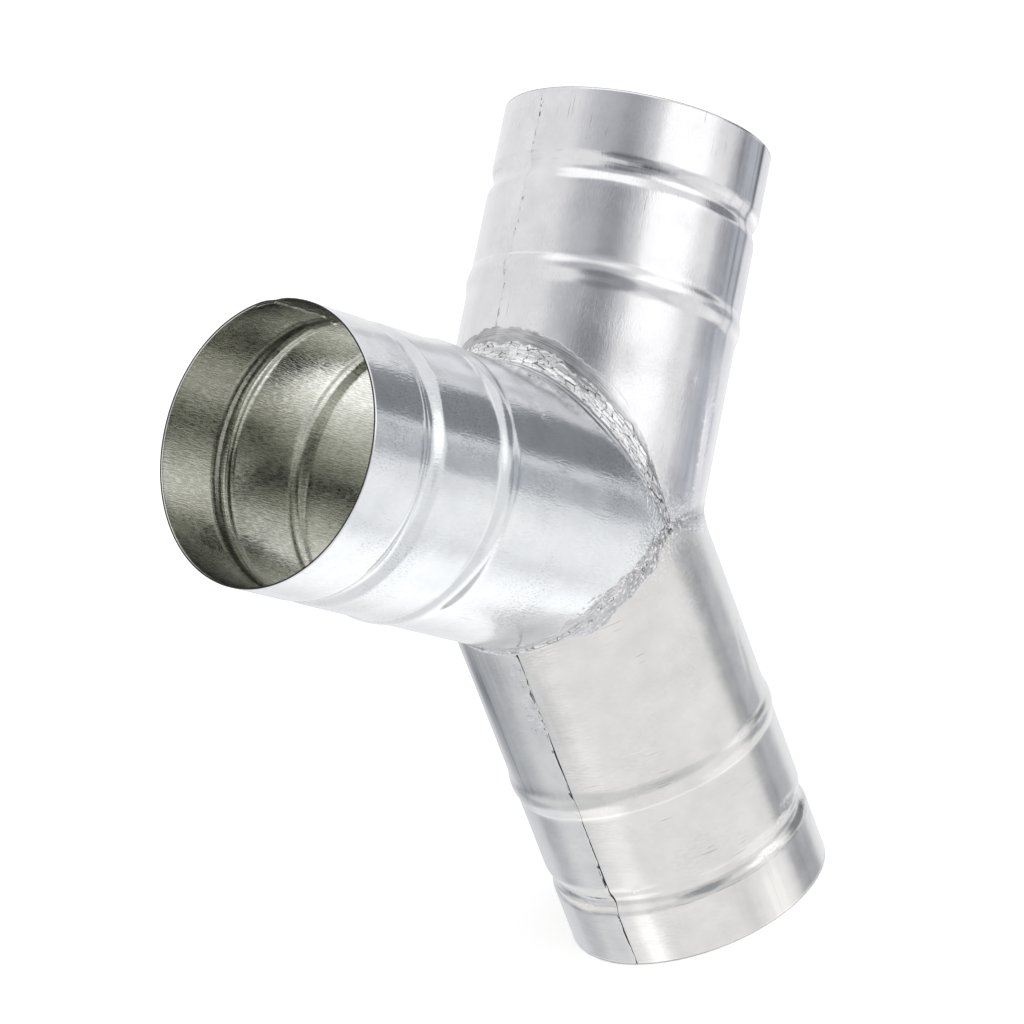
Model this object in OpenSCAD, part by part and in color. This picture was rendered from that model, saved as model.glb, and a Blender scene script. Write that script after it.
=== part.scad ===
// Round sheet-metal duct wye: a trunk tube that splits into two branch tubes of the same size.
// Each tube is rolled from galvanised sheet, closed by a lap seam, stiffened by two rolled beads and
// cut on a mitre. The three mitres meet in one point and are closed from outside with solder.
// The trunk stands on its open end at z = 0, the branches lean to the left (-X) and right (+X),
// and the front of the fitting faces -Y.

/* [Tubes] */
// Outer diameter of the three tubes
tube_od = 100; // [80:1:110]
// Thickness of the galvanised sheet
sheet_t = 0.6; // [0.5:0.1:1]

/* [Arms] */
// Length of the trunk, from the point where the three axes meet to its rim
trunk_len = 158; // [140:1:260]
// Length of the left branch, from the same point to its rim
left_len = 154; // [145:1:260]
// Length of the right branch, from the same point to its rim
right_len = 150; // [145:1:260]
// Lean of the left branch away from the trunk's axis, in degrees
left_lean = 49.5; // [40:0.5:60]
// Lean of the right branch away from the trunk's axis, in degrees
right_lean = 47.2; // [40:0.1:60]

/* [Rolled beads] */
// Width of a rolled bead along the tube, with its rounded shoulders
bead_w = 12; // [8:0.5:14]
// Depth of the groove, the bead that is rolled inwards
groove_depth = 1.5; // [0.8:0.1:2]
// Height of the ridge, the bead that is rolled outwards
ridge_height = 0.9; // [0.5:0.1:2]
// Distance from the trunk's rim to the middle of its groove
trunk_groove_at = 27; // [20:0.5:34]
// Distance from a branch's rim to the middle of its groove
branch_groove_at = 29.5; // [20:0.5:34]
// Distance from any rim to the middle of its ridge
ridge_at = 68; // [55:0.5:72]

/* [Lap seams] */
// Width of the inner leaf of a lap seam
lap_w = 9; // [5:0.5:15]
// How far that leaf reaches past the slit, where the sheet steps inwards
step_w = 3; // [2:0.5:5]
// Width of the slit where the outer leaf of a lap seam ends
slit_w = 0.5; // [0.3:0.1:1]
// Place of the trunk's seam, in degrees round the tube from the front towards the left
trunk_seam_at = 83; // [30:1:150]
// Place of each branch's seam, in degrees round the tube from the front towards the other branch
branch_seam_at = 95; // [30:1:150]

/* [Solder] */
// Greatest thickness of the solder on the sheet
solder_t = 1.1; // [0.6:0.1:2]
// Width of the solder on the left branch, next to the mitre between the branches
crotch_left_w = 2; // [1:0.5:6]
// Width of the solder on the right branch, next to the same mitre
crotch_right_w = 15; // [8:0.5:16]
// Distance from that mitre to the crown of its solder, on the right branch
crotch_crown_at = 6; // [0:0.5:7]
// Width of the left branch's solder on the trunk
left_trunk_w = 6; // [3:0.5:12]
// Width of the left branch's solder on the branch
left_branch_w = 12; // [3:0.5:14]
// Width of the right branch's solder on the trunk
right_trunk_w = 5; // [3:0.5:12]
// Width of the right branch's solder on the branch
right_branch_w = 8; // [3:0.5:14]
// Gap between the solder and the round sheet under it
solder_gap = 0.02; // [0.01:0.01:0.1]

/* [Hidden] */

tube_r = tube_od / 2;
$fn = 96;
// Each arm's direction, in degrees from +Z towards +X. The trunk is reached from either side.
left_dir = -left_lean;
right_dir = right_lean;
trunk_dir = 180;
// Each mitre plane holds the Y axis and halves the angle between its two arms
crotch_mitre = (left_dir + right_dir) / 2;
left_mitre = (left_dir - trunk_dir) / 2;
right_mitre = (right_dir + trunk_dir) / 2;
// Sheet that each tube has below the meeting point before its mitres are cut
mitre_spare = 5;
// Block that is larger than the fitting, for cutting on a mitre plane
block = 3 * max(trunk_len, left_len, right_len);
// Steps along each arc of a bead's section
arc_steps = 5;
// How far the slit's cutter stands out of the sheet
cutter_proud = 1;
// Rings along a band of solder, and points across each side of its mitre
solder_rings = 40;
solder_steps = 5;
// The solder's seat is a ring of flats, whose corners stand a little off the round tube
seat_r = (tube_r + solder_gap) / cos(90 / solder_rings);
// Power that rounds the crown of the solder and thins its edges
crown_power = 1.8;

// Arc of a bead's section: turn is the angle from the middle of the bead to its steepest point
function bead_turn(h) = 2 * atan(2 * h / bead_w);
function bead_radius(h) = bead_w / (4 * sin(bead_turn(h)));

// Section line of one bead at a depth below the outer surface, from low z to high z.
// side is 1 for a ridge and -1 for a groove. The shoulders and the crest have equal radii.
function bead_line(z, side, h, depth) =
    let (turn = bead_turn(h), rad = bead_radius(h), step = turn / arc_steps)
    concat(
        [for (i = [0 : arc_steps]) let (a = i * step)
            [tube_r + side * rad * (1 - cos(a)) - depth * cos(a),
             z - bead_w / 2 + (rad + side * depth) * sin(a)]],
        [for (i = [1 - arc_steps : arc_steps - 1]) let (a = i * step)
            [tube_r + side * (h - rad * (1 - cos(a))) - depth * cos(a),
             z + (rad - side * depth) * sin(a)]],
        [for (i = [arc_steps : -1 : 0]) let (a = i * step)
            [tube_r + side * rad * (1 - cos(a)) - depth * cos(a),
             z + bead_w / 2 - (rad + side * depth) * sin(a)]]);

// Section line of a whole tube at a depth below its outer surface
function tube_line(len, groove_at, depth) = concat(
    [[tube_r - depth, -mitre_spare]],
    bead_line(len - ridge_at, 1, ridge_height, depth),
    bead_line(len - groove_at, -1, groove_depth, depth),
    [[tube_r - depth, len]]);

// Angle that a width takes round a tube
function turn_of(width) = width / tube_r * 180 / PI;

function reversed(list) = [for (i = [len(list) - 1 : -1 : 0]) list[i]];

// Section of the sheet between two depths below its outer surface
module sheet_section(length, groove_at, top, bottom) {
    polygon(concat(tube_line(length, groove_at, top),
                   reversed(tube_line(length, groove_at, bottom))));
}

// One beaded tube along +Z, before its mitres. Its seam lies seam_at degrees round from the front.
module rolled_tube(length, groove_at, seam_at) {
    rotate([0, 0, seam_at - 90]) {
        difference() {
            rotate_extrude() sheet_section(length, groove_at, 0, sheet_t);
            rotate_extrude(angle = turn_of(slit_w))
                sheet_section(length, groove_at, -cutter_proud, sheet_t);
        }
        rotate([0, 0, -turn_of(step_w)]) rotate_extrude(angle = turn_of(step_w + lap_w))
            sheet_section(length, groove_at, sheet_t, 2 * sheet_t);
    }
}

// Puts an arm that is drawn along +Z at the meeting point of the axes and leans it over
module on_arm(direction) {
    translate([0, 0, trunk_len]) rotate([0, direction, 0]) children();
}

// Everything on one side of a mitre plane: side is 1 for the larger directions, -1 for the smaller
module beyond(mitre, side) {
    on_arm(mitre) translate([side * block / 2, 0, 0]) cube(block, center = true);
}

// Unit vectors of an arm: along it, and across it towards the larger directions
function along(direction) = [sin(direction), 0, cos(direction)];
function across(direction) = [cos(direction), 0, -sin(direction)];

// Point on an arm: radius r, turned round from the front towards side, at a distance past the mitre
function arm_point(direction, side, half, r, round, past) =
    [0, 0, trunk_len]
    + along(direction) * (r * sin(round) / tan(half) + past)
    + across(direction) * side * r * sin(round)
    + [0, -r * cos(round), 0];

// Thickness of the solder at a signed distance from the mitre, greatest at its crown
function solder_rise(s, low_w, high_w, crown_at) =
    let (reach = s < crown_at ? low_w + crown_at : high_w - crown_at)
    solder_t * (1 - pow(abs(s - crown_at) / reach, crown_power));

// Band of solder over the mitre between two arms, from the front meeting point to the back one.
// low_w and high_w are its widths on the arm of smaller and of larger direction, and crown_at is
// the distance of its crown from the mitre, towards the larger direction.
module solder_band(low_dir, high_dir, low_w, high_w, crown_at = 0) {
    half = (high_dir - low_dir) / 2;
    places = [for (i = [-solder_steps : solder_steps])
        i / solder_steps * (i < 0 ? low_w : high_w)];
    ring_size = len(places) + 1;
    middle = solder_steps;
    root = ring_size - 1;
    points = [for (ring = [0 : solder_rings]) let (round = 180 * ring / solder_rings)
        each concat(
            [for (s = places) let (r = seat_r + solder_rise(s, low_w, high_w, crown_at))
                s < 0 ? arm_point(low_dir, 1, half, r, round, -s)
                      : arm_point(high_dir, -1, half, r, round, s)],
            [arm_point(low_dir, 1, half, seat_r, round, 0)])];
    last = solder_rings * ring_size;
    skin = [for (ring = [0 : solder_rings - 1]) for (i = [0 : ring_size - 1])
        let (a = ring * ring_size + i,
             b = ring * ring_size + (i + 1) % ring_size,
             c = b + ring_size,
             d = a + ring_size)
        each [[a, d, c], [a, c, b]]];
    ends = [[for (i = [0 : middle]) i, root],
            [for (i = [middle : root - 1]) i, root],
            [last + root, for (i = [middle : -1 : 0]) last + i],
            [last + root, for (i = [root - 1 : -1 : middle]) last + i]];
    polyhedron(points, concat(skin, ends), convexity = 6);
}

module trunk_tube() {
    color("gainsboro") difference() {
        on_arm(trunk_dir) rolled_tube(trunk_len, trunk_groove_at, trunk_seam_at);
        beyond(left_mitre, 1);
        beyond(right_mitre, -1);
    }
}

module left_branch_tube() {
    color("silver") difference() {
        on_arm(left_dir) rolled_tube(left_len, branch_groove_at, branch_seam_at);
        beyond(left_mitre, -1);
        beyond(crotch_mitre, 1);
    }
}

module right_branch_tube() {
    color("lightgray") difference() {
        on_arm(right_dir) rolled_tube(right_len, branch_groove_at, -branch_seam_at);
        beyond(right_mitre, 1);
        beyond(crotch_mitre, -1);
    }
}

module crotch_solder() {
    color("whitesmoke")
        solder_band(left_dir, right_dir, crotch_left_w, crotch_right_w, crotch_crown_at);
}

module left_solder() {
    color("whitesmoke") solder_band(-trunk_dir, left_dir, left_trunk_w, left_branch_w);
}

module right_solder() {
    color("whitesmoke") solder_band(right_dir, trunk_dir, right_branch_w, right_trunk_w);
}

trunk_tube();
left_branch_tube();
right_branch_tube();
crotch_solder();
left_solder();
right_solder();
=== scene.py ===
# %% [markdown]
# # A galvanised duct wye
#
# This lesson dresses a round duct wye: a trunk tube that splits into two branch tubes. Each tube is
# rolled from bright galvanised sheet, closed by a lap seam and stiffened by a rolled groove and a
# rolled ridge. The tubes meet on mitres, which a tinsmith has closed with lumpy solder.
#
# The solid model comes first and fixes every size. Blender adds what a solid model leaves out: the
# sheet's small waves and dents, its rolling lines, the cracked skin of the solder, and the studio
# that bright metal needs around it, because a mirror has no look of its own.

import math

import bpy
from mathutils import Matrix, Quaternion, Vector


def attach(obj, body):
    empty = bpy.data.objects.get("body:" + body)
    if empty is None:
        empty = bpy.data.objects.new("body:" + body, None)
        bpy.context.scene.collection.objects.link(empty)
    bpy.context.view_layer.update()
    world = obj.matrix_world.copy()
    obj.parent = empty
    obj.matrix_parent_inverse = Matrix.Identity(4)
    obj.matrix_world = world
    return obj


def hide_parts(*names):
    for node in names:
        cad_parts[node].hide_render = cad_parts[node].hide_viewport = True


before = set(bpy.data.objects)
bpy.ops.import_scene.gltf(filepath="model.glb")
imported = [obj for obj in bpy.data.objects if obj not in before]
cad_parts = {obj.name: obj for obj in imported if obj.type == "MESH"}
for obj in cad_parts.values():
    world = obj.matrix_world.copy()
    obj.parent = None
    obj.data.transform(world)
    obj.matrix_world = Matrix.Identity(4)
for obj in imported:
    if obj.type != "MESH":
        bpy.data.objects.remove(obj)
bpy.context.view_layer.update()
print("nodes:", ", ".join(sorted(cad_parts)))

# %% [markdown]
# ## The fitting's sizes
#
# The sizes are those of the solid model, in metres. Each arm is described by its direction, which
# is the angle from straight up towards +X, by its length from the point where the three axes meet,
# and by the half angles to its two neighbours, because a mitre halves the angle between two arms.

# %% Sizes
mm = 0.001
tube_radius = 50 * mm
sheet_thickness = 0.6 * mm
meeting_height = 158 * mm
bead_width = 12 * mm
groove_depth = 1.5 * mm
ridge_height = 0.9 * mm
ridge_at = 68 * mm

left_direction = -49.5
right_direction = 47.2
trunk_direction = 180.0
crotch_half = (right_direction - left_direction) / 2
left_half = (left_direction + 360 - trunk_direction) / 2
right_half = (trunk_direction - right_direction) / 2
print("half angles at the mitres:", crotch_half, left_half, right_half)

# %% [markdown]
# ## Formulas in a node tree
#
# A rolled tube and a band of solder both follow a rule, so Geometry Nodes can make them: a box with
# many small faces is bent into place by a formula. The same goes for the patterns in a material.
# Written with bare nodes, a formula can't be read, so this small class lets it be written as on
# paper. Each sum, product or sine adds one Math node.


# %% A number that nodes work out
class Number:
    """A number inside a node tree: the result of one of its nodes."""

    def __init__(self, tree, socket):
        self.tree = tree
        self.socket = socket

    def __add__(self, other):
        return work(self.tree, "ADD", self, other)

    def __sub__(self, other):
        return work(self.tree, "SUBTRACT", self, other)

    def __rsub__(self, other):
        return work(self.tree, "SUBTRACT", other, self)

    def __mul__(self, other):
        return work(self.tree, "MULTIPLY", self, other)

    def __truediv__(self, other):
        return work(self.tree, "DIVIDE", self, other)

    def __neg__(self):
        return self * -1

    __radd__ = __add__
    __rmul__ = __mul__


def feed(tree, term, socket):
    """Gives a socket a number of the tree, another socket's value or a plain value."""
    if isinstance(term, Number):
        term = term.socket
    if isinstance(term, bpy.types.NodeSocket):
        tree.links.new(term, socket)
    else:
        socket.default_value = term


def work(tree, operation, *terms):
    """Adds one Math node and returns its result."""
    node = tree.nodes.new("ShaderNodeMath")
    node.operation = operation
    for place, term in enumerate(terms):
        feed(tree, term, node.inputs[place])
    return Number(tree, node.outputs[0])


print("numbers of a tree can be added, subtracted, multiplied and divided")


# %% Functions and patterns
def sine(number):
    return work(number.tree, "SINE", number)


def cosine(number):
    return work(number.tree, "COSINE", number)


def amount(number):
    """The number without its sign."""
    return work(number.tree, "ABSOLUTE", number)


def above(number, limit):
    """1 where the number is above the limit, otherwise 0."""
    return work(number.tree, "GREATER_THAN", number, limit)


def held(number):
    """The number held between 0 and 1."""
    node = number.tree.nodes.new("ShaderNodeClamp")
    feed(number.tree, number, node.inputs["Value"])
    return Number(number.tree, node.outputs["Result"])


def exponent(number):
    return work(number.tree, "EXPONENT", number)


def step(number, low, high):
    """Rises smoothly from 0 at low to 1 at high, or falls where low is the larger one."""
    node = number.tree.nodes.new("ShaderNodeMapRange")
    node.interpolation_type = "SMOOTHSTEP"
    for label, term in (("Value", number), ("From Min", low), ("From Max", high)):
        feed(number.tree, term, node.inputs[label])
    return Number(number.tree, node.outputs["Result"])


def mix(first, second, share):
    return first + (second - first) * share


def spot(tree, x, y, z):
    """A vector from three numbers."""
    node = tree.nodes.new("ShaderNodeCombineXYZ")
    for place, term in enumerate((x, y, z)):
        feed(tree, term, node.inputs[place])
    return node.outputs[0]


def parts(tree, vector):
    """The three numbers of a vector."""
    node = tree.nodes.new("ShaderNodeSeparateXYZ")
    feed(tree, vector, node.inputs[0])
    return [Number(tree, output) for output in node.outputs]


def noise(tree, x, y, z, detail=1.0, rough=0.5):
    """Soft noise at a place, between about -1 and 1, with waves about one unit long."""
    node = tree.nodes.new("ShaderNodeTexNoise")
    feed(tree, spot(tree, x, y, z), node.inputs["Vector"])
    node.inputs["Scale"].default_value = 1.0
    node.inputs["Detail"].default_value = detail
    node.inputs["Roughness"].default_value = rough
    return Number(tree, node.outputs[0]) * 2 - 1


print("helpers for formulas are ready")

# %% [markdown]
# ## Materials: galvanised sheet
#
# Zinc on steel is a half mirror with a long history of rolling and handling. The mill leaves fine
# lines in it, broken into short ticks where the zinc has flowed, and the blank is never quite flat,
# so a dark edge in the room shows on the sheet as a soft, hatched one. On the branches the lines run
# along the tube and on the trunk they run round it, because the blanks were cut from the coil in two
# directions. All of it is a bump of a few hundredths of a millimetre, on the sheet's own coordinates
# in metres: U runs round the tube from the seam and V runs in from the rim. Where the mitres meet,
# the sheet was beaten to fit, and an attribute on the mesh tells the material where to crease it,
# and where to paint glints as painted highlight over a darker painted shade.


# %% Helpers for materials
relief_unit = 0.01 * mm


def new_material(name):
    """A material, its tree and its surface shader."""
    material = bpy.data.materials.new(name)
    material.use_nodes = True
    tree = material.node_tree
    return material, tree, tree.nodes["Principled BSDF"]


def sheet_place(tree):
    """U and V of the sheet, in metres."""
    node = tree.nodes.new("ShaderNodeUVMap")
    node.uv_map = "UVMap"
    return parts(tree, node.outputs[0])[:2]


def stored(tree, name, output="Fac"):
    """A value that the mesh carries under a name."""
    node = tree.nodes.new("ShaderNodeAttribute")
    node.attribute_name = name
    return Number(tree, node.outputs[output])


def bump(tree, height, shader):
    """Bumps the surface by a height that is told in hundredths of a millimetre."""
    node = tree.nodes.new("ShaderNodeBump")
    node.inputs["Strength"].default_value = 1.0
    node.inputs["Distance"].default_value = relief_unit
    feed(tree, height, node.inputs["Height"])
    feed(tree, node.outputs[0], shader.inputs["Normal"])


def tinted(tree, dark, light, share):
    """A colour between two, as a socket."""
    node = tree.nodes.new("ShaderNodeMix")
    node.data_type = "RGBA"
    node.inputs[6].default_value = (*dark, 1)
    node.inputs[7].default_value = (*light, 1)
    feed(tree, share, node.inputs[0])
    return node.outputs[2]


def shaded(colour, factor):
    """A colour made darker or lighter, by one factor or by one for each of its parts."""
    factors = factor if isinstance(factor, tuple) else (factor,) * 3
    return tuple(part * times for part, times in zip(colour, factors))


def line_at(place, station, width):
    """A soft line across the sheet, 1 in its middle, at a place told in metres."""
    off = (place - station) / width
    return exponent(-(off * off))


print("bumps are told in steps of", relief_unit / mm, "mm")

# %% [markdown]
# Each mark that the sheet carries gets a helper of its own. Hairlines and creases can lie anywhere,
# so noises place them. A film can't be left to chance, so each one is told by its place on the sheet,
# its size and its depth. Some films are dirt where the tube was gripped, and others are painted
# reflections: dark streaks, and brighter patches where the depth is negative.


# %% Marks on the sheet
def scratches(tree, across, along, seed):
    """Short hairlines: the peaks of a stretched noise, of which only some patches show."""
    hair = noise(tree, across * 1000, along * 45, seed, detail=2, rough=0.6)
    shown = step(noise(tree, across * 38, along * 38, seed + 1, detail=2), 0.08, 0.25)
    return step(hair, 0.28, 0.4) * shown


def foil(tree, u, v, seed):
    """Crumpled sheet: sharp creases at two sizes, where a soft noise passes through zero."""
    large = amount(noise(tree, u * 240, v * 240, seed, detail=2, rough=0.5))
    small = amount(noise(tree, u * 800, v * 800, seed + 1, detail=2, rough=0.6))
    return large + 0.4 * small


def pits(tree, u, v, across, along, seed):
    """Fine pits, in the places where the zinc is dull."""
    holes = noise(tree, across * 1500, along * 800, seed, detail=1)
    dull = step(noise(tree, u * 34, v * 34, seed + 1, detail=3), 0.02, 0.3)
    return step(holes, 0.08, 0.3) * dull


def seam_dirt(tree, u, v, seed):
    """Short specks of dirt in the lap seam."""
    specks = step(noise(tree, u * 900, v * 320, seed, detail=2), 0.1, 0.2)
    darkened = step(noise(tree, v * 45, seed + 1, 0.0, detail=1), -0.1, 0.1)
    return specks * darkened * line_at(u, 0.2 * mm, 0.7 * mm)


def dirt_and_painted_reflections(tree, u, v, stains_and_painted_reflections, seed):
    """Films of dirt and painted reflections in all their places, streaked along the tube."""
    depth = 0.0
    for round_at, down_at, wide, long, deep in stains_and_painted_reflections:
        depth = depth + deep * line_at(u, round_at, wide) * line_at(v, down_at, long)
    return depth * (1 + 0.9 * noise(tree, u * 420, v * 14, seed, detail=3))


def groove_marks(place, groove_at):
    """The thin line that the roller's edge raises in the groove, and a scored line on each side."""
    raised = line_at(place, groove_at - 3.6 * mm, 0.7 * mm)
    upper = line_at(place, groove_at - 2.3 * mm, 0.3 * mm)
    lower = line_at(place, groove_at - 5.2 * mm, 0.4 * mm)
    return raised, upper + 1.3 * lower


print("a film is told by its place, size and depth")


# %% Galvanised sheet
def galvanised(
    name, colour, lines_along, shine, mottle, patchy, hatch, pitted, groove_at, seed, stains_and_painted_reflections
):
    """Rolled zinc-coated sheet, with its lines along the tube or round it.

    Each film of dirt and each painted reflection is (place round the tube, distance from the rim,
    width, length, depth)."""
    material, tree, shader = new_material(name)
    u, v = sheet_place(tree)
    across, along = (u, v) if lines_along else (v, u)
    crush_glints_and_shade = stored(tree, "crush_glints_and_shade")

    # What the mill left: ticks in patches, fine lines, shallow waves and clouds in the zinc
    patches = step(noise(tree, u * 40, v * 40, seed + 2, detail=2), patchy, patchy + 0.5)
    ticks = noise(tree, across * 1350, along * 330, seed, detail=2, rough=0.65)
    ticks = ticks * (0.25 + 0.75 * patches)
    lines = noise(tree, across * 700, along * 30, seed + 1, detail=2, rough=0.6)
    waves = noise(tree, across * 120, along * 60, seed + 3, detail=2)
    clouds = noise(tree, u * 62, v * 62, seed + 4, detail=4, rough=0.6)
    hair = scratches(tree, across, along, seed + 5)

    # What the rollers left in the groove, and a painted highlight along the ridge's lower edge, both
    # worn away in places
    uneven = noise(tree, u * 130, seed + 7, 0.0, detail=3) * 0.6 * mm
    wear = noise(tree, u * 34, v * 20, seed + 8, detail=4, rough=0.7)
    raised, scored = groove_marks(v + uneven, groove_at)
    raised = raised * step(wear, -0.2, 0.3)
    scored = scored * step(wear, -0.15, 0.35)
    ridge_painted_highlight = line_at(v + 0.5 * uneven, ridge_at - 4.6 * mm, 0.45 * mm) * step(wear, -0.35, 0.0)

    # Where the tubes meet the sheet is crumpled, and the material paints glints on it, specks of
    # painted highlight, over a darker painted shade
    painted_glints = step(noise(tree, u * 850, v * 850, seed + 13, detail=2), 0.12, 0.24)

    share = 0.78 + 0.5 * clouds + 0.4 * ticks - 0.8 * hair - 0.8 * scored
    share = share - pitted * pits(tree, u, v, across, along, seed + 9)
    share = held(share + crush_glints_and_shade * (0.8 * painted_glints - 0.2))
    share = 0.7 * share + 0.3 * held(ridge_painted_highlight + crush_glints_and_shade * painted_glints)
    share = 0.55 + 0.45 * share
    # Films of dirt, and painted reflections: dark streaks, and brighter patches where the depth is
    # negative
    share = share - 0.7 * dirt_and_painted_reflections(tree, u, v, stains_and_painted_reflections, seed + 14)
    share = held(share - 0.95 * seam_dirt(tree, u, v, seed + 11))
    # Darker colour: dirt, pits, painted shade and dark painted reflections; brighter colour: polish,
    # painted highlights and bright painted reflections
    darkened, polish_and_highlight = shaded(colour, (0.1, 0.12, 0.14)), shaded(colour, 1.14)
    feed(tree, tinted(tree, darkened, polish_and_highlight, share), shader.inputs["Base Color"])
    shader.inputs["Metallic"].default_value = 1.0
    rough = shine + mottle * clouds + 0.05 * ticks + 0.08 * crush_glints_and_shade
    feed(tree, rough, shader.inputs["Roughness"])

    relief = hatch * (5 * ticks + 1.8 * lines * (0.3 + patches) + 6 * waves) - 2 * hair
    relief = relief + 5 * raised - 4 * scored + 70 * crush_glints_and_shade * foil(tree, u, v, seed + 6)
    bump(tree, relief, shader)
    return material


print("the sheet's lines run along the branches and round the trunk")

# %% [markdown]
# The three tubes differ in colour, in the way their lines run, and in their stains and painted
# reflections. The trunk is the dullest and carries the most stains and painted reflections, and the
# left branch has the most pits.

# %% The three sheets
branch_left_sheet = galvanised(
    "left_branch_sheet", (0.77, 0.785, 0.8), True, 0.15, 0.07, -0.2, 0.8, 0.5, 29.5 * mm, 11.0,
    [(103 * mm, 40 * mm, 3 * mm, 40 * mm, 0.12)],
)
# Most of these films are painted reflections: dark streaks, and a brighter patch with negative depth
branch_right_sheet = galvanised(
    "right_branch_sheet", (0.79, 0.78, 0.8), True, 0.17, 0.06, -0.1, 0.55, 0.15, 29.5 * mm, 27.0,
    [
        (48 * mm, 26.5 * mm, 9 * mm, 0.8 * mm, 0.9),
        (99 * mm, 6 * mm, 1.8 * mm, 28 * mm, 1.0),
        (95 * mm, 4 * mm, 0.9 * mm, 20 * mm, 0.3),
        (85 * mm, 12 * mm, 1.4 * mm, 16 * mm, 0.3),
        (92.5 * mm, 48 * mm, 1.0 * mm, 20 * mm, 0.45),
        (98 * mm, 54 * mm, 1.2 * mm, 18 * mm, 0.6),
        (89 * mm, 112 * mm, 8 * mm, 28 * mm, -0.45),
    ],
)
# Dirt and painted reflections: the dark streak below the left branch and the negative, brighter ones
# are painted
trunk_sheet = galvanised(
    "trunk_sheet", (0.815, 0.8, 0.78), False, 0.2, 0.1, 0.0, 0.8, 0.1, 27 * mm, 43.0,
    [
        (28 * mm, 116 * mm, 6.5 * mm, 30 * mm, 1.05),
        (27 * mm, 80 * mm, 5 * mm, 14 * mm, 0.4),
        (18 * mm, 73.5 * mm, 14 * mm, 2.6 * mm, 0.3),
        (26 * mm, 27 * mm, 6 * mm, 1.6 * mm, 0.8),
        (8 * mm, 28 * mm, 5 * mm, 0.4 * mm, 0.9),
        (219 * mm, 25 * mm, 3 * mm, 2 * mm, 0.7),
        (228 * mm, 30 * mm, 4 * mm, 1.2 * mm, 0.5),
        (12 * mm, 126 * mm, 7 * mm, 12 * mm, 0.2),
        (231 * mm, 10 * mm, 8 * mm, 20 * mm, 0.25),
        (252 * mm, 6 * mm, 6 * mm, 18 * mm, -0.35),
        (265 * mm, 8 * mm, 4 * mm, 16 * mm, 0.15),
        (304 * mm, 8 * mm, 4 * mm, 22 * mm, -0.4),
        (309 * mm, 108 * mm, 5 * mm, 24 * mm, 0.15),
    ],
)
print("sheet materials:", branch_left_sheet.name, branch_right_sheet.name, trunk_sheet.name)

# %% [markdown]
# The inside of the tube has the same lines, but it looks olive-grey: light reaches the eye after
# several bounces, and each one takes a little more blue away. It is stained in patches too, because
# nobody wiped it. The cut edge of the sheet has no zinc, and it has gone dark with dirt and handling;
# its near-black colour is also painted shade, which draws the lap seam as a dark line.


# %% The sheet's inner face and its cut edge
# Near black: dirt, and painted shade on the cut edge
grime_and_shade = (0.03, 0.03, 0.028)
olive_zinc = (0.85, 0.855, 0.8)


def inner_face():
    material, tree, shader = new_material("inner_sheet")
    u, v = sheet_place(tree)
    ticks = noise(tree, u * 2100, v * 300, 1.0, detail=1)
    ticks = step(ticks, -0.25, 0.25) - 0.5
    lines = noise(tree, u * 900, v * 30, 2.0, detail=2, rough=0.6)
    clouds = noise(tree, u * 60, v * 40, 5.0, detail=4, rough=0.6)
    waves = noise(tree, u * 130, v * 60, 6.0, detail=2)
    shader.inputs["Metallic"].default_value = 1.0
    feed(tree, 0.15 + 0.05 * ticks + 0.07 * clouds, shader.inputs["Roughness"])
    share = held(0.6 + 0.4 * ticks + 0.2 * lines + 0.6 * clouds)

    # Black patches in two places at the rim: one is at the lap
    rim_black = held(line_at(u, 146 * mm, 8 * mm) + line_at(u, 306 * mm, 9 * mm))
    rim_black = rim_black * line_at(v, 0.3 * mm, 1.2 * mm)
    share = (0.5 + 0.5 * share) * (1 - rim_black)
    feed(tree, tinted(tree, grime_and_shade, olive_zinc, share), shader.inputs["Base Color"])
    bump(tree, 2 * ticks + 1.5 * lines + 6 * waves, shader)
    return material


inner_sheet = inner_face()
# The cut edge is near black: dirt, and painted shade that draws the lap seam as a dark line
edge, tree, shader = new_material("cut_edge")
shader.inputs["Base Color"].default_value = (*grime_and_shade, 1)
shader.inputs["Metallic"].default_value = 0.0
shader.inputs["Roughness"].default_value = 0.7
shader.inputs["Specular IOR Level"].default_value = 0.1
print("inner face and edge:", inner_sheet.name, edge.name)

# %% [markdown]
# ## The rolled tubes
#
# A real tube starts as a flat blank, whose one edge is cut to the mitre curve. It is rolled until
# its ends overlap, so this one is too: a flat box of small faces, one sheet thick, is wound round
# the axis a little more than once. Its near end lies on top of its far end at the lap seam. Columns
# are crowded towards the seam, to keep its step thin, and rows are spent where the beads are. Each
# side of a bead is two arcs of equal radius, as the rollers leave it, so the beads catch the light
# crisply.


# %% Inputs of a tree
def new_tree(name, inputs):
    """A Geometry Nodes tree with named inputs. Returns it, its inputs as numbers and its output."""
    tree = bpy.data.node_groups.new(name, "GeometryNodeTree")
    tree.is_modifier = True
    tree.interface.new_socket("Geometry", in_out="OUTPUT", socket_type="NodeSocketGeometry")
    for label, value in inputs.items():
        kind = "NodeSocketInt" if isinstance(value, int) else "NodeSocketFloat"
        socket = tree.interface.new_socket(label, in_out="INPUT", socket_type=kind)
        socket.default_value = value
    given = tree.nodes.new("NodeGroupInput")
    result = tree.nodes.new("NodeGroupOutput")
    numbers = {label: Number(tree, given.outputs[label]) for label in inputs}
    return tree, numbers, result.inputs["Geometry"]


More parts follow.
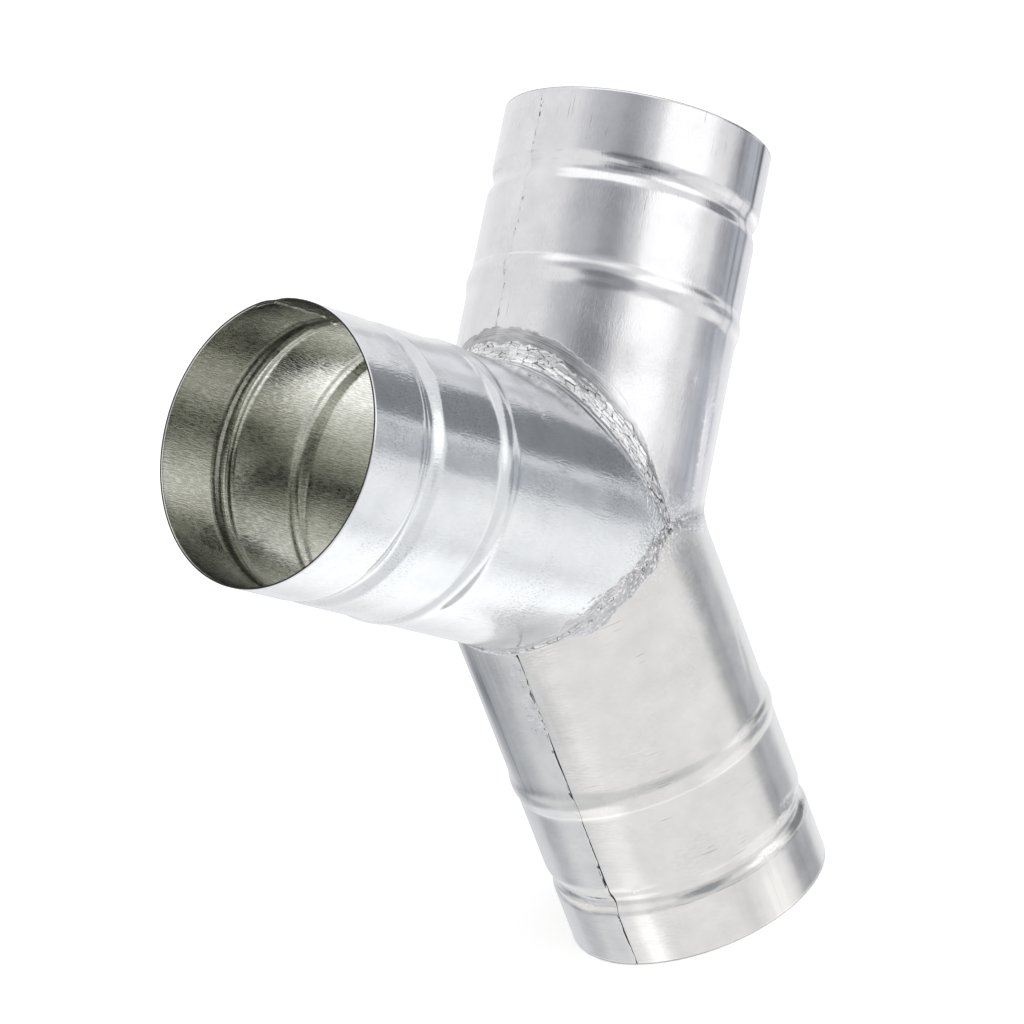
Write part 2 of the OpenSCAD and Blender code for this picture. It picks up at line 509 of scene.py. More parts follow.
def made(name, tree, values):
    """Runs a tree with the given inputs and returns its mesh as a plain object at the origin."""
    carrier = bpy.data.objects.new(name + "_maker", bpy.data.meshes.new(name + "_start"))
    bpy.context.scene.collection.objects.link(carrier)
    modifier = carrier.modifiers.new("shape", "NODES")
    modifier.node_group = tree
    for item in tree.interface.items_tree:
        if item.in_out == "INPUT" and item.name in values:
            modifier[item.identifier] = values[item.name]
    bpy.context.view_layer.update()
    shaped = carrier.evaluated_get(bpy.context.evaluated_depsgraph_get())
    mesh = bpy.data.meshes.new_from_object(shaped)
    mesh.name = name
    piece = bpy.data.objects.new(name, mesh)
    bpy.context.scene.collection.objects.link(piece)
    bpy.data.objects.remove(carrier)
    faces = sum(len(polygon.vertices) - 2 for polygon in mesh.polygons)
    print(name, "has", faces, "triangles")
    return piece


def thin_box(tree, columns, rows):
    """A closed box from -0.5 to 0.5, one face thick. Returns it and the place of its points."""
    box = tree.nodes.new("GeometryNodeMeshCube")
    box.inputs["Size"].default_value = (1, 1, 1)
    feed(tree, columns, box.inputs["Vertices X"])
    feed(tree, rows, box.inputs["Vertices Y"])
    box.inputs["Vertices Z"].default_value = 2
    place = tree.nodes.new("GeometryNodeInputPosition")
    return [box.outputs["Mesh"]] + parts(tree, place.outputs[0])


def kept(tree, flow, name, kind, domain, value):
    """Stores a value on the mesh under a name, for the material to read."""
    store = tree.nodes.new("GeometryNodeStoreNamedAttribute")
    store.data_type = kind
    store.domain = domain
    store.inputs["Name"].default_value = name
    feed(tree, flow, store.inputs["Geometry"])
    feed(tree, value, store.inputs["Value"])
    return store.outputs[0]


def finished(tree, flow, z, u, v, position, materials, output):
    """Stores U and V on the box, bends it into place, and gives its sides, its top and its bottom
    their materials."""
    flow = kept(tree, flow, "UVMap", "FLOAT2", "CORNER", spot(tree, u, v, 0.0))
    flow = kept(tree, flow, "face", "FLOAT", "FACE", above(z, 0.4) - above(-z, 0.4))
    bend = tree.nodes.new("GeometryNodeSetPosition")
    feed(tree, flow, bend.inputs["Geometry"])
    feed(tree, position, bend.inputs["Position"])
    reader = tree.nodes.new("GeometryNodeInputNamedAttribute")
    reader.data_type = "FLOAT"
    reader.inputs["Name"].default_value = "face"
    face = Number(tree, reader.outputs["Attribute"])
    smooth = tree.nodes.new("GeometryNodeSetShadeSmooth")
    feed(tree, bend.outputs[0], smooth.inputs["Geometry"])
    feed(tree, amount(face), smooth.inputs["Shade Smooth"])
    real = tree.nodes.new("GeometryNodeRealizeInstances")
    feed(tree, smooth.outputs[0], real.inputs[0])
    flow = real.outputs[0]
    for material, where in zip(materials, (None, above(face, 0.5), above(-face, 0.5))):
        node = tree.nodes.new("GeometryNodeSetMaterial")
        feed(tree, flow, node.inputs["Geometry"])
        node.inputs["Material"].default_value = material
        if where is not None:
            feed(tree, where, node.inputs["Selection"])
        flow = node.outputs[0]
    feed(tree, flow, output)


print("a box of small faces is ready to be bent")


# %% Shapes on the sheet
def bead(distance, width):
    """The section of a rolled bead: 1 on its middle line and 0 outside it, made of equal arcs."""
    part = held(amount(distance) * 2 / width)
    outer = 1 - part
    inner = held(1 - 2 * part)
    return 2 * outer * outer - inner * inner


def dent(turn, from_rim, at, station, wide, long, tilt):
    """A soft dent: 1 in its middle. The place is in degrees from the front and metres from the rim."""
    angle = turn - math.radians(at)
    round_way = tube_radius * sine(angle)
    long_way = from_rim - station
    level, steep = math.cos(math.radians(tilt)), math.sin(math.radians(tilt))
    off_wide = (round_way * level + long_way * steep) / wide
    off_long = (long_way * level - round_way * steep) / long
    return exponent(-(off_wide * off_wide + off_long * off_long)) * above(cosine(angle), 0.0)


print("the groove is", groove_depth / mm, "mm deep and the ridge", ridge_height / mm, "mm high")

# %% A rolled tube
plain_rows = 0.34
crowding = 0.7
crush_reach = 9 * mm
tube_inputs = {
    "Columns": 385,
    "Rows": 125,
    "Direction": 0.0,
    "Length": 150 * mm,
    "Low Half": 1.0,
    "High Half": 1.0,
    "Groove At": 29.5 * mm,
    "Ridge At": ridge_at,
    "Bead Width": bead_width,
    "Groove Depth": groove_depth,
    "Ridge Height": ridge_height,
    "Seam At": 0.0,
    "Lap": 9 * mm,
    "Lap Step": 0.65 * mm,
    "Lap Lift": 0.1 * mm,
    "Lap Ramp": 0.25 * mm,
    "Lap Wobble": 1.5 * mm,
    "Lap Kink": 1.2 * mm,
    "Wave": 0.10 * mm,
    "Seed": 0.0,
}


def tube_tree(name, outside, dents):
    """The tree that rolls one tube. Each dent is (at, station, wide, long, depth, tilt)."""
    tree, size, output = new_tree(name, tube_inputs)
    flow, x, y, z = thin_box(tree, size["Columns"], size["Rows"])
    v, depth = y + 0.5, 0.5 - z
    plain_end = size["Length"] - size["Ridge At"] - size["Bead Width"] / 2 - 2 * mm

    # Round the tube, with the lap's edge a little wavy and drawn in where the ridge is rolled
    u = x + 0.5 + sine(x * 2 * math.pi) * crowding / (2 * math.pi)
    girth = 2 * math.pi * tube_radius
    arc = u * (size["Lap"] + girth)
    wobble = noise(tree, v * 13, size["Seed"], 0.0, detail=5, rough=0.6) * size["Lap Wobble"]
    on_beads = (size["Length"] - plain_end) * (1 - v) / (1 - plain_rows)
    drawn_in = bead(on_beads - size["Ridge At"], 16 * mm)
    arc = arc + (wobble - size["Lap Kink"] * drawn_in) * (1 - step(arc, 0.0, 12 * mm))
    turn = size["Seam At"] + arc / tube_radius
    across = sine(turn)

    # The sheet's level, which rises at the lap's upper leaf and drops at its lower one
    lift = size["Lap Lift"] * (1 - step(arc, size["Lap"], size["Lap"] + 10 * mm))
    sunk = size["Lap Step"] - size["Lap Lift"]
    drop = sunk * step(arc, girth - size["Lap Ramp"], girth)
    level = tube_radius + lift - drop - depth * sheet_thickness

    # Along the tube, from the mitre curve to the rim
    half = mix(size["Low Half"], size["High Half"], above(across, 0.0))
    mitre = level * amount(across) * cosine(half) / sine(half)
    along = (
        mitre
        + (plain_end - mitre) * held(v / plain_rows)
        + (size["Length"] - plain_end) * held((v - plain_rows) / (1 - plain_rows))
    )
    from_rim = size["Length"] - along

    # The beads, the waves, and the dents, which also crease the sheet round them
    rolled = size["Ridge Height"] * bead(from_rim - size["Ridge At"], size["Bead Width"])
    rolled = rolled - size["Groove Depth"] * bead(from_rim - size["Groove At"], size["Bead Width"])
    facing = cosine(turn)
    wave = noise(tree, across * 1.3, facing * 1.3 + size["Seed"], along * 26, detail=1)
    wave = wave + 0.25 * noise(tree, across * 7, facing * 7 + size["Seed"], along * 9, detail=1)
    height = level + rolled + size["Wave"] * wave
    # Where the tubes meet and round the dents the sheet is creased, and its material paints glints and
    # painted shade there
    from_meeting = (along - mitre) / crush_reach
    crush_glints_and_shade = 0.8 * exponent(-(from_meeting * from_meeting + across * across * 9))
    for at, station, wide, long, deep, tilt in dents:
        here = dent(turn, from_rim, at, station, wide, long, tilt)
        height = height + deep * here
        crush_glints_and_shade = crush_glints_and_shade + 1.8 * abs(deep) / min(wide, long) * here
    flow = kept(tree, flow, "crush_glints_and_shade", "FLOAT", "POINT", held(crush_glints_and_shade))

    lean = size["Direction"]
    sideways = height * across
    position = spot(
        tree,
        sine(lean) * along + cosine(lean) * sideways,
        -height * facing,
        meeting_height + cosine(lean) * along - sine(lean) * sideways,
    )
    finished(tree, flow, z, arc, from_rim, position, (edge, outside, inner_sheet), output)
    return tree


spans = (tube_inputs["Columns"] - 1) * (tube_inputs["Rows"] - 1)
print("a tube has", spans * 4, "triangles on its two faces")

# %% [markdown]
# The three tubes share one rule and differ in their inputs. The list of dents is what the photo
# shows: a crushed groove on the trunk, a few creases near the mitres, and a flat shoulder below the
# ridge of the right branch. Each dent is a soft hollow or a crease, told by its place on the tube.

# %% The three tubes
trunk_dents = [
    (-26, 30 * mm, 5 * mm, 2.2 * mm, -0.8 * mm, 12),
    (-14, 34 * mm, 7 * mm, 1.5 * mm, -0.5 * mm, 6),
    (-34, 24 * mm, 9 * mm, 1.2 * mm, 0.4 * mm, 4),
    (-4, 31 * mm, 4 * mm, 1.3 * mm, -0.4 * mm, -10),
    (8, 24 * mm, 6 * mm, 1.1 * mm, 0.35 * mm, 8),
    (100, 25 * mm, 4 * mm, 2 * mm, -0.5 * mm, 0),
    (70, 31 * mm, 4 * mm, 1 * mm, 0.3 * mm, 0),
    (-20, 92 * mm, 1.6 * mm, 9 * mm, -0.2 * mm, 14),
    (10, 118 * mm, 9 * mm, 12 * mm, -0.25 * mm, 20),
]
right_dents = [
    (12, 112 * mm, 1.6 * mm, 20 * mm, 0.3 * mm, -6),
    (19, 110 * mm, 1.6 * mm, 20 * mm, -0.25 * mm, -6),
    (22, 101 * mm, 4 * mm, 1.4 * mm, -0.2 * mm, -20),
    (0, 96 * mm, 1.2 * mm, 1.2 * mm, -0.3 * mm, 0),
    (-50, 103 * mm, 34 * mm, 9 * mm, -0.3 * mm, 0),
]
left_dents = [
    (36, 122 * mm, 12 * mm, 16 * mm, -0.4 * mm, 15),
    (40, 89 * mm, 9 * mm, 3 * mm, -0.15 * mm, 0),
    (95, 0, 3 * mm, 6 * mm, -0.4 * mm, 0),
]

for node_name, outside, dents, values in (
    ("trunk_tube", trunk_sheet, trunk_dents, {
        "Direction": math.radians(trunk_direction),
        "Length": 158 * mm,
        "Low Half": math.radians(right_half),
        "High Half": math.radians(left_half),
        "Groove At": 27 * mm,
        "Seam At": math.radians(83),
        "Seed": 4.0,
    }),
    ("left_branch_tube", branch_left_sheet, left_dents, {
        "Direction": math.radians(left_direction),
        "Length": 154 * mm,
        "Low Half": math.radians(left_half),
        "High Half": math.radians(crotch_half),
        "Seam At": math.radians(95),
        "Seed": 11.0,
    }),
    ("right_branch_tube", branch_right_sheet, right_dents, {
        "Direction": math.radians(right_direction),
        "Length": 150 * mm,
        "Low Half": math.radians(crotch_half),
        "High Half": math.radians(right_half),
        "Seam At": math.radians(-95),
        "Lap Step": 0.03 * mm,
        "Lap Lift": 0.0,
        "Seed": 23.0,
    }),
):
    tree = tube_tree(node_name + "_rule", outside, dents)
    tube = made(node_name.replace("_tube", "_sheet"), tree, values)
    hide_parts(node_name)
    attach(tube, "root")
    node_name.split("_")[0] + "_sheet"

# %% [markdown]
# ## The solder
#
# Solder of this kind is wiped on by hand. It lies as a cracked bead over the mitre, with a thin wiped
# skin beyond it that ends in a ragged edge. The bead froze in patches: each patch is a small flat
# facet with its own tilt, and the cracks run between the patches. A Voronoi pattern has just that
# build. The shape and the material read the same pattern, so every crack lies between two facets.


# %% Solder material
def solder_cells(tree, vector, feature):
    """The pattern of the solder's facets: stretched cells, nearly in rows."""
    node = tree.nodes.new("ShaderNodeTexVoronoi")
    node.feature = feature
    node.inputs["Scale"].default_value = 1.0
    node.inputs["Randomness"].default_value = 0.62
    feed(tree, vector, node.inputs["Vector"])
    return node


def solder_material():
    material, tree, shader = new_material("wiped_solder")
    u, v = sheet_place(tree)
    thick = stored(tree, "bead")
    skin = stored(tree, "skin")
    crush_glints_and_shade = stored(tree, "crush_glints_and_shade")
    tone = stored(tree, "tone")

    # Cracks between the facets of the bead, open in some places and closed in others
    facets = solder_cells(tree, stored(tree, "facets", "Vector"), "DISTANCE_TO_EDGE")
    shown = step(noise(tree, u * 260, v * 300, 5.0, detail=3, rough=0.7), -0.2, 0.15)
    open_by = 0.055 * shown
    edge_distance = Number(tree, facets.outputs[0])
    crack = (1 - step(edge_distance, open_by * 0.4, open_by + 0.004)) * thick

    # Grain, dark flecks, the wiping cloth's combed lines in the thin skin, and painted glints
    grain = noise(tree, u * 160, v * 1300, 4.0, detail=3, rough=0.6)
    flecks = step(noise(tree, u * 1100, v * 1100, 3.0, detail=2), 0.2, 0.3)
    flecks = flecks * held(0.6 * thick + 0.7 * crush_glints_and_shade)
    comb = noise(tree, u * 14, v * 900, 8.0, detail=1)
    combed = step(noise(tree, u * 60, v * 20, 9.0, detail=1), -0.05, 0.15)
    groove = (1 - step(amount(comb), 0.0, 0.1)) * combed * (1 - thick) * skin
    clouds = noise(tree, u * 120, v * 200, 6.0, detail=3)
    dulled = noise(tree, u * 70, v * 90, 14.0, detail=2)
    painted_glints = step(noise(tree, u * 700, v * 700, 15.0, detail=2), 0.1, 0.2)

    bare_share = 0.84
    skin_share = 0.46
    bead_share = 0.84 + 0.3 * tone + 0.35 * dulled
    share = mix(bare_share, mix(skin_share, bead_share, thick), skin) + 0.25 * clouds
    # Where the tubes meet: painted glints, specks of painted highlight, over a darker painted shade
    share = held(share + mix(0.3, 0.12, thick) * grain + crush_glints_and_shade * (0.5 * painted_glints - 0.12))
    share = share * (1 - 0.9 * crack) * (1 - 0.6 * flecks) * (1 - 0.6 * groove)
    dark_solder, bright_solder = (0.09, 0.09, 0.1), (0.9, 0.9, 0.915)
    feed(tree, tinted(tree, dark_solder, bright_solder, share), shader.inputs["Base Color"])
    shader.inputs["Metallic"].default_value = 1.0
    rough = mix(0.19, mix(0.32, 0.28, thick), skin)
    feed(tree, rough + 0.05 * grain + 0.07 * clouds, shader.inputs["Roughness"])
    relief = 2 * grain + 2 * clouds * thick - 3 * crack - 3 * flecks - 3 * groove
    bump(tree, relief + 100 * foil(tree, u, v, 12.0) * crush_glints_and_shade, shader)
    return material


solder = solder_material()
print("solder:", solder.name)

# %% [markdown]
# A band is a flat box of small faces again, bent over the mitre. Across the band it measures the
# distance from the mitre, on one tube or on the other, and along it the turn round the tube. At the
# front and the back, where all three tubes meet, the band is narrower or wider than at the sides, so
# each band has a second set of widths there.

# %% A band of solder
band_sweep = 188
buried = 0.35 * mm
edge_sunk = 0.06 * mm
front = math.radians(90)
band_inputs = {
    "Columns": 560,
    "Rows": 60,
    "Low Direction": 0.0,
    "High Direction": 1.0,
    "Low Width": 5 * mm,
    "Low Bead": 3 * mm,
    "High Width": 5 * mm,
    "High Bead": 3 * mm,
    "Low Far": 1.0,
    "High Far": 1.0,
    "Change From": 0.1,
    "Change To": 0.4,
    "Lip From": -1.0,
    "Thickness": 0.5 * mm,
    "Fillet": 1.5 * mm,
    "Fillet Reach": 2 * mm,
    "Facet Long": 3.9 * mm,
    "Facet Wide": 1.5 * mm,
    "Facet Height": 0.2 * mm,
    "Skin": 0.2 * mm,
    "Skin Tone": 1.0,
    "Ragged": 0.3,
    "Broken": 0.0,
    "Crumpled To": 0.5,
    "Seed": 0.0,
}


def band_tree():
    """The tree that lays one band of solder over the mitre between two arms."""
    tree, size, output = new_tree("solder_band_rule", band_inputs)
    flow, x, y, z = thin_box(tree, size["Columns"], size["Rows"])
    half = (size["High Direction"] - size["Low Direction"]) / 2
    turn = front - math.radians(band_sweep) * x
    run = turn * tube_radius
    from_front = front - amount(turn - front)
    far = step(from_front, size["Change From"], size["Change To"])
    lipped = step(from_front, size["Lip From"], size["Lip From"] + 0.3)

    # How wide the band and its bead are on the lower and on the higher arm, with ragged edges
    ragged = noise(tree, run * 85, size["Seed"], 0.0, detail=3, rough=0.6)
    torn = noise(tree, run * 75, size["Seed"] + 7, 0.0, detail=3, rough=0.6)
    low_share = mix(1.0, size["Low Far"], far)
    high_share = mix(1.0, size["High Far"], far)
    tip = mix(0.4, 1.0, step(from_front, math.radians(-3), math.radians(12)))
    low_width = size["Low Width"] * low_share * tip * (1 + 0.4 * size["Ragged"] * ragged)
    high_width = size["High Width"] * high_share * tip * (1 + size["Ragged"] * torn)
    past = (low_width + high_width) * (y + 0.5) - low_width
    high = above(past, 0.0)
    distance = amount(past)
    width = mix(low_width, high_width, high)
    bead_reach = mix(size["Low Bead"] * low_share, size["High Bead"] * high_share, high)
    bead_reach = bead_reach * (1 + 0.5 * noise(tree, run * 200, past * 60, 2.0, detail=2))

    # How much of the bead, of the wiped skin and of the fillet there is at a point
    bead_share = 1 - step(distance, bead_reach - 0.8 * mm, bead_reach + 0.8 * mm)
    blobs = step(noise(tree, run * 190, past * 220, size["Seed"] + 3, detail=1), -0.02, 0.2)
    bead_share = bead_share * mix(1.0, blobs, size["Broken"] * (1 - far))
    skin_edge = 1 - step(distance, width - 0.7 * mm, width)
    skin_slope = 1 - step(distance, bead_reach, width)
    skin_share = mix(skin_slope, skin_edge, lipped)
    fillet = size["Fillet"] * exponent(-distance / size["Fillet Reach"]) * amount(sine(turn))

    # The facets: each has its own height and its own tilt both ways
    bend = 0.35 * noise(tree, run * 260, past * 260, size["Seed"], detail=2)
    along_cell = run / size["Facet Long"] + bend + size["Seed"]
    across_cell = past / size["Facet Wide"] + bend
    place = spot(tree, along_cell, across_cell, 0.0)
    nearest = solder_cells(tree, place, "F1")
    red, green, blue = parts(tree, nearest.outputs["Color"])
    at_long, at_wide = parts(tree, nearest.outputs["Position"])[:2]
    facet = (red - 0.5) + (green - 0.5) * (along_cell - at_long) * 1.8
    facet = facet + (blue - 0.5) * (across_cell - at_wide) * 1.8
    wild = mix(2.2, 1.0, step(from_front, 0.05, 0.3)) * mix(0.4, 1.0, high)
    lumps = noise(tree, run * 210, past * 300, size["Seed"], detail=2)
    fine = noise(tree, run * 900, past * 900, size["Seed"], detail=2)
    rise = (
        bead_share * (size["Thickness"] + wild * size["Facet Height"] * (facet + 0.8 * lumps))
        + skin_share * (size["Skin"] + 0.05 * mm * lumps)
        + 0.02 * mm * fine
        + fillet
        - edge_sunk
    )
    radius = tube_radius + mix(-buried, rise, z + 0.5)

    # Near the front and the back the solder is crumpled, and its material paints glints and painted
    # shade there
    crush_glints_and_shade = (1 - step(from_front, 0.05, size["Crumpled To"])) * (1 - bead_share * 0.3)
    for label, value in (
        ("bead", bead_share),
        ("skin", held(bead_share + skin_share * size["Skin Tone"])),
        ("tone", red - 0.5),
        ("crush_glints_and_shade", crush_glints_and_shade),
    ):
        flow = kept(tree, flow, label, "FLOAT", "POINT", value)
    flow = kept(tree, flow, "facets", "FLOAT_VECTOR", "POINT", place)

    lean = mix(size["Low Direction"], size["High Direction"], high)
    side = 1 - 2 * high
    along = radius * sine(turn) * cosine(half) / sine(half) + distance
    sideways = side * radius * sine(turn)
    position = spot(
        tree,
        sine(lean) * along + cosine(lean) * sideways,
        -radius * cosine(turn),
        meeting_height + cosine(lean) * along - sine(lean) * sideways,
    )
    finished(tree, flow, z, run + 0.1, past + 0.05, position, (solder,) * 3, output)
    return tree


band_spans = (band_inputs["Columns"] - 1) * (band_inputs["Rows"] - 1)
print("a band has", band_spans * 4, "triangles on its two faces")

# %% The three bands
solder_rule = band_tree()
for node_name, values in (
    ("crotch_solder", {
        "Low Direction": math.radians(left_direction),
        "High Direction": math.radians(right_direction),
        "Low Width": 2.2 * mm,
        "Low Bead": 1.3 * mm,
        "High Width": 8 * mm,
        "High Bead": 4.5 * mm,
        "High Far": 1.8,
        "Change From": math.radians(6),
        "Change To": math.radians(26),
        "Lip From": math.radians(48),
        "Seed": 3.0,
    }),
    ("left_solder", {
        "Low Direction": math.radians(-trunk_direction),
        "High Direction": math.radians(left_direction),
        "Low Width": 6.5 * mm,
        "Low Bead": 1.6 * mm,
        "Low Far": 0.25,
        "High Width": 12 * mm,
        "High Bead": 3 * mm,
        "High Far": 0.35,
        "Change From": math.radians(44),
        "Change To": math.radians(60),
        "Facet Long": 2.8 * mm,
        "Facet Wide": 1.9 * mm,
        "Facet Height": 0.4 * mm,
        "Thickness": 0.45 * mm,
        "Fillet": 0.8 * mm,
        "Skin": 0.04 * mm,
        "Skin Tone": 0.45,
        "Ragged": 0.7,
        "Broken": 1.0,
        "Crumpled To": 1.2,
        "Seed": 31.0,
    }),
    ("right_solder", {
        "Low Direction": math.radians(right_direction),
        "High Direction": math.radians(trunk_direction),
        "Low Width": 7 * mm,
        "Low Bead": 0.3 * mm,
        "High Width": 6 * mm,
        "High Bead": 0.3 * mm,
        "Lip From": math.radians(120),
        "Thickness": 0.02 * mm,
        "Fillet": 0.9 * mm,
        "Fillet Reach": 3 * mm,
        "Facet Height": 0.05 * mm,
        "Skin": 0.04 * mm,
        "Skin Tone": 0.5,
        "Seed": 57.0,
    }),
):
    band = made(node_name.replace("_solder", "_band"), solder_rule, values)
    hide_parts(node_name)
    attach(band, "root")

# %% [markdown]
# Where the trunk's seam runs under the solder, some of it ran down beside the lap and was wiped. This
# thin smear is a narrow box bent round the trunk. Its edges are torn by a noise and its skin is
# lumpy, and it thins out to nothing at its lower end. It has no bead, and a material reads 0 for a
# value that a mesh doesn't carry, so it stores the other values only.

# %% Smear beside the trunk's seam
smear_inputs = {
    "Columns": 44,
    "Rows": 150,
    "Seam At": math.radians(87),
    "Top": 27 * mm,
    "Bottom": 66 * mm,
    "Width": 9 * mm,
    "Thickness": 0.1 * mm,
    "Seed": 5.0,
}


def smear_tree():
    """The tree that lays a torn smear of solder on the trunk, beside its seam."""
    tree, size, output = new_tree("seam_smear_rule", smear_inputs)
    flow, x, y, z = thin_box(tree, size["Columns"], size["Rows"])
    down = y + 0.5
    below = mix(size["Top"], size["Bottom"], down)
    torn_left = noise(tree, below * 170, size["Seed"], 0.0, detail=3)
    torn_right = noise(tree, below * 170, size["Seed"] + 9, 0.0, detail=3)
    torn = mix(torn_left, torn_right, above(x, 0.0))
    width = size["Width"] * (0.3 + 2.8 * down * (1 - down)) * (1 + 0.9 * torn)
    aside = x * width
    rim = 1 - step(amount(x), 0.32, 0.5)
    ends = step(down, 0.0, 0.04) * (1 - step(down, 0.7, 1.0))
    lumps = noise(tree, below * 420, aside * 600, size["Seed"], detail=3, rough=0.6)
    gaps = step(noise(tree, below * 300, aside * 300, 3.0, detail=3), -0.3, 0.1)
    rise = size["Thickness"] * rim * ends * gaps * (0.75 + 0.9 * lumps)
    rise = rise + 0.13 * mm * gaps * ends - edge_sunk
    radius = tube_radius + mix(-buried, rise, z + 0.5)
    # The smear is a little crumpled, and its material paints a few glints and a little painted shade
    # on it
    for label, value in (
        ("skin", 0.5 - 0.2 * rim * ends),
        ("tone", 0.5 * lumps),
        ("crush_glints_and_shade", 0.06 * rim),
    ):
        flow = kept(tree, flow, label, "FLOAT", "POINT", value)
    cells = spot(tree, below * 420, aside * 420, 0.0)
    flow = kept(tree, flow, "facets", "FLOAT_VECTOR", "POINT", cells)
    turn = size["Seam At"] + aside / tube_radius
    position = spot(tree, -radius * sine(turn), -radius * cosine(turn), meeting_height - below)
    finished(tree, flow, z, aside + 0.3, below, position, (solder,) * 3, output)
    return tree


smear = made("seam_smear", smear_tree(), {})
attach(smear, "root")

# %% [markdown]
# ## The studio
#
# Bright sheet shows the room and nothing else, so the room is designed. It is a white tent with a
# dark flag on the right, grey ones round the camera and behind, and brighter panels above, in front
# and below. What lies low behind the fitting and low on the right is a little blue. Each flag or
# panel is a soft round patch in one direction of the world, laid over those before it in the list.
#
# Only reflections see the tent. The camera sees plain white, and the floor gets plain white light
# and keeps a shadow. A Mix Shader on Is Glossy Ray chooses between the two, and not a formula,
# because Cycles skips the side of a Mix Shader that it doesn't need, which saves much time here.

# %% White world with flags and panels
panels = [
    # name, azimuth from the front towards the right, elevation, width, height, turn, softness, level
    ("ceiling", 60, 77, 58, 46, 40, 12, 1.35),
    ("low_glow", -106, -41, 38, 32, 23, 8, 1.22),
    ("table", 108, -66, 66, 43, 66, 20, 1.38),
    ("far_wall", 138, 22, 53, 80, 14, 10, 1.0),
    ("side_wall", -116, -14, 88, 27, 10, 22, 0.8),
    ("back_flag", -173, -21, 52, 17, -4, 12, 0.6),
    ("back_skirt", 159, -25, 52, 13, 0, 6, 0.84),
    ("tall_figure", -34, 63, 56, 36, -40, 22, 0.59),
    ("stand_skirt", -46, -2, 116, 22, 0, 8, 0.79),
    ("camera_stand", -41, 29, 40, 54, 18, 12, 0.41),
    ("camera_box", -42, 39, 24, 26, 0, 12, 0.29),
    ("front_panel", 21, 17, 46, 33, -39, 9, 1.42),
    ("front_strip", 13, 18.5, 46, 11, -39, 5, 1.45),
    ("flag_skirt", 62, -25, 50, 15, -12, 5, 0.62),
    ("dark_flag", 70, -3, 44, 20.5, -14, 4, 0.31),
    ("near_table", 29, -47, 34, 26, 0, 10, 1.12),
    ("left_streak", 51, -20, 4, 34, 0, 2, 0.45),
    ("right_streak", 59, -22, 4, 34, 0, 2, 0.35),
]


def outlook(azimuth, elevation):
    """The direction at an azimuth from the front towards the right, and at an elevation."""
    a, e = math.radians(azimuth), math.radians(elevation)
    return Vector((math.sin(a) * math.cos(e), -math.cos(a) * math.cos(e), math.sin(e)))


def towards(tree, direction, axis):
    """How far the direction of view points along an axis."""
    node = tree.nodes.new("ShaderNodeVectorMath")
    node.operation = "DOT_PRODUCT"
    feed(tree, direction, node.inputs[0])
    node.inputs[1].default_value = axis
    return Number(tree, node.outputs["Value"])


def panel_share(tree, direction, azimuth, elevation, width, height, turn, soft):
    """1 inside a round panel of the tent and 0 outside it. Sizes are in degrees."""
    centre = outlook(azimuth, elevation)
    right = Vector((math.cos(math.radians(azimuth)), math.sin(math.radians(azimuth)), 0))
    right.rotate(Quaternion(centre, math.radians(turn)))
    up = right.cross(centre)
    aside = towards(tree, direction, right / math.tan(math.radians(width / 2)))
    aloft = towards(tree, direction, up / math.tan(math.radians(height / 2)))
    ahead = work(tree, "MAXIMUM", towards(tree, direction, centre), 0.02)
    off = work(tree, "SQRT", aside * aside + aloft * aloft) / ahead
    blur = 2 * soft / (width + height)
    return step(off, 1 + blur, 1 - blur)


print("the world will get", len(panels), "flags and panels")

# %% Studio world
tent_level = 0.97
plain_level = 0.75

world = bpy.data.worlds.new("studio")
bpy.context.scene.world = world
world.use_nodes = True
tree = world.node_tree
view_direction = tree.nodes.new("ShaderNodeTexCoord").outputs["Generated"]
rays = tree.nodes.new("ShaderNodeLightPath")
seen = Number(tree, rays.outputs["Is Camera Ray"])

plain = tree.nodes["Background"]
plain.inputs["Color"].default_value = (1, 1, 1, 1)
feed(tree, mix(plain_level, 1.0, seen), plain.inputs["Strength"])

x, y, z = parts(tree, view_direction)
tent = tent_level + 0.06 * noise(tree, 3 * x, 3 * y, 3 * z, detail=2)
for name, azimuth, elevation, width, height, turn, soft, level in panels:
    share = panel_share(tree, view_direction, azimuth, elevation, width, height, turn, soft)
    tent = mix(tent, level, share)
cool = 0.8 * panel_share(tree, view_direction, -170, -26, 100, 36, 0, 16)
cool = cool + 0.7 * panel_share(tree, view_direction, 80, -27, 60, 16, 0, 6)
mirrored = tree.nodes.new("ShaderNodeBackground")
bluish = (0.87, 0.92, 1.0)
colour = tinted(tree, bluish, (1, 1, 1), held(tent - 0.5 * cool))
feed(tree, colour, mirrored.inputs["Color"])
feed(tree, tent, mirrored.inputs["Strength"])

choice = tree.nodes.new("ShaderNodeMixShader")
feed(tree, rays.outputs["Is Glossy Ray"], choice.inputs["Fac"])
feed(tree, plain.outputs[0], choice.inputs[1])
feed(tree, mirrored.outputs[0], choice.inputs[2])
feed(tree, choice.outputs[0], tree.nodes["World Output"].inputs["Surface"])
print("the world has", len(tree.nodes), "nodes")

# %% Floor and lamp
floor_reach = 6.0
floor_level = -0.0002
floor_glow = 0.35

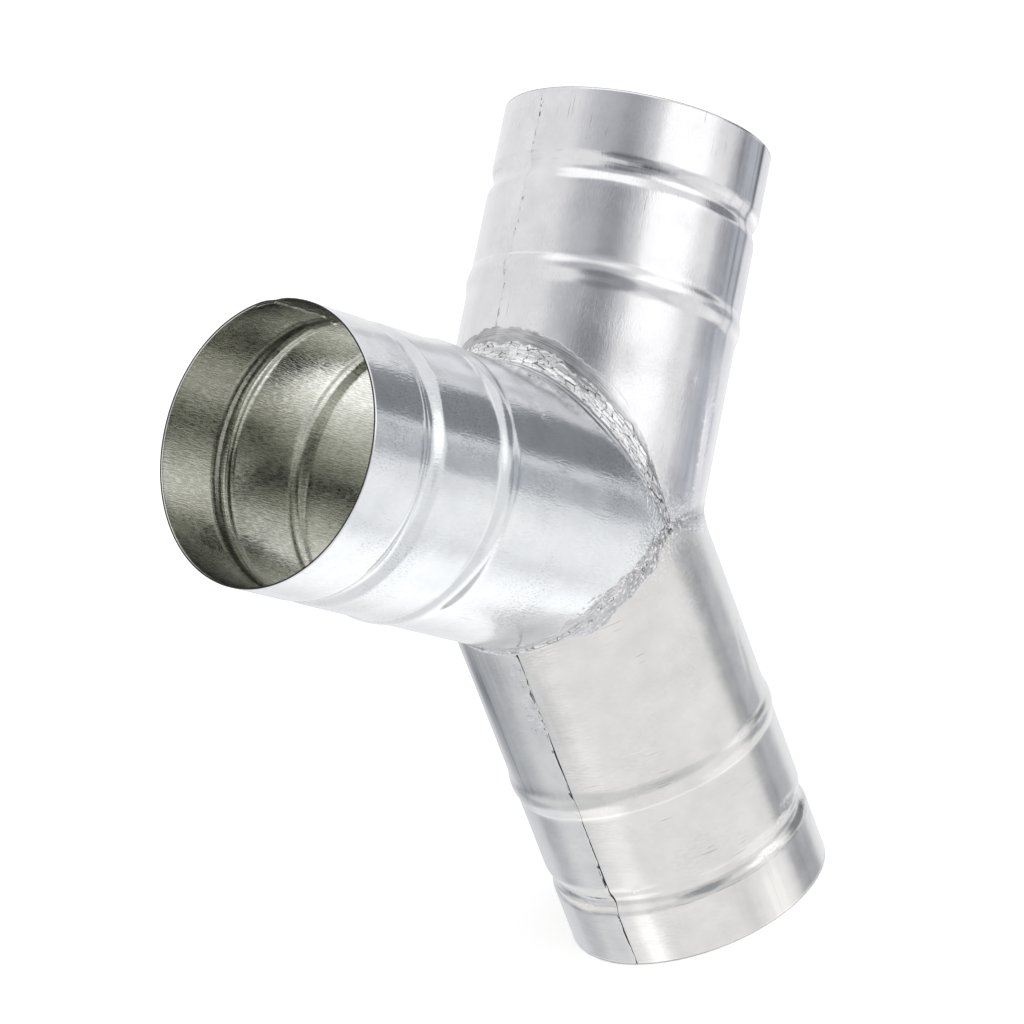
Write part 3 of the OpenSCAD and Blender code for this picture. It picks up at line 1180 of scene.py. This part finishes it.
corners = [(-1, -1), (1, -1), (1, 1), (-1, 1)]
floor_mesh = bpy.data.meshes.new("floor")
floor_mesh.from_pydata(
    [(x * floor_reach, y * floor_reach, floor_level) for x, y in corners], [], [(0, 1, 2, 3)]
)
floor = bpy.data.objects.new("floor", floor_mesh)
bpy.context.scene.collection.objects.link(floor)
floor.visible_glossy = False
floor_paint, tree, shader = new_material("floor_paint")
shader.inputs["Base Color"].default_value = (0.9, 0.9, 0.9, 1)
shader.inputs["Roughness"].default_value = 1.0
shader.inputs["Specular IOR Level"].default_value = 0.0
shader.inputs["Emission Color"].default_value = (1, 1, 1, 1)
rays = tree.nodes.new("ShaderNodeLightPath")
seen = Number(tree, rays.outputs["Is Camera Ray"])
feed(tree, seen * floor_glow, shader.inputs["Emission Strength"])
floor_mesh.materials.append(floor_paint)

lamp_data = bpy.data.lights.new("overhead_lamp", "AREA")
lamp_data.shape = "DISK"
lamp_data.size = 1.2
lamp_data.energy = 12
lamp = bpy.data.objects.new("overhead_lamp", lamp_data)
lamp.location = (-0.3, -0.5, 1.8)
lamp.rotation_mode = "QUATERNION"
lamp.rotation_quaternion = (lamp.location - Vector((0, 0, 0.15))).to_track_quat("Z", "Y")
lamp.visible_glossy = False
bpy.context.scene.collection.objects.link(lamp)
print("the lamp gives", lamp_data.energy, "W")

# %% [markdown]
# ## The camera
#
# The photo was taken through a long lens from the front left and from a little above, and the
# camera was rolled, so the upright fitting seems to lean. The camera's lens, place, direction and
# roll were fitted to the outlines of the tubes and to their rims.

# %% Camera
camera_azimuth = -44.4114
camera_elevation = 22.1090
camera_roll = -21.007

camera_data = bpy.data.cameras.new("camera")
camera_data.lens = 155.7
camera_data.sensor_width = 36
camera_data.clip_start = 0.05
camera_data.clip_end = 50
camera = bpy.data.objects.new("camera", camera_data)
camera.location = (-1.047, -1.048, 0.771)
back = outlook(camera_azimuth, camera_elevation)
level = (-back).to_track_quat("-Z", "Y")
camera.rotation_mode = "QUATERNION"
camera.rotation_quaternion = Quaternion(back, math.radians(camera_roll)) @ level
bpy.context.scene.collection.objects.link(camera)
bpy.context.scene.camera = camera
bpy.context.scene.view_settings.view_transform = "Standard"
print("camera at", tuple(round(v, 3) for v in camera.location))
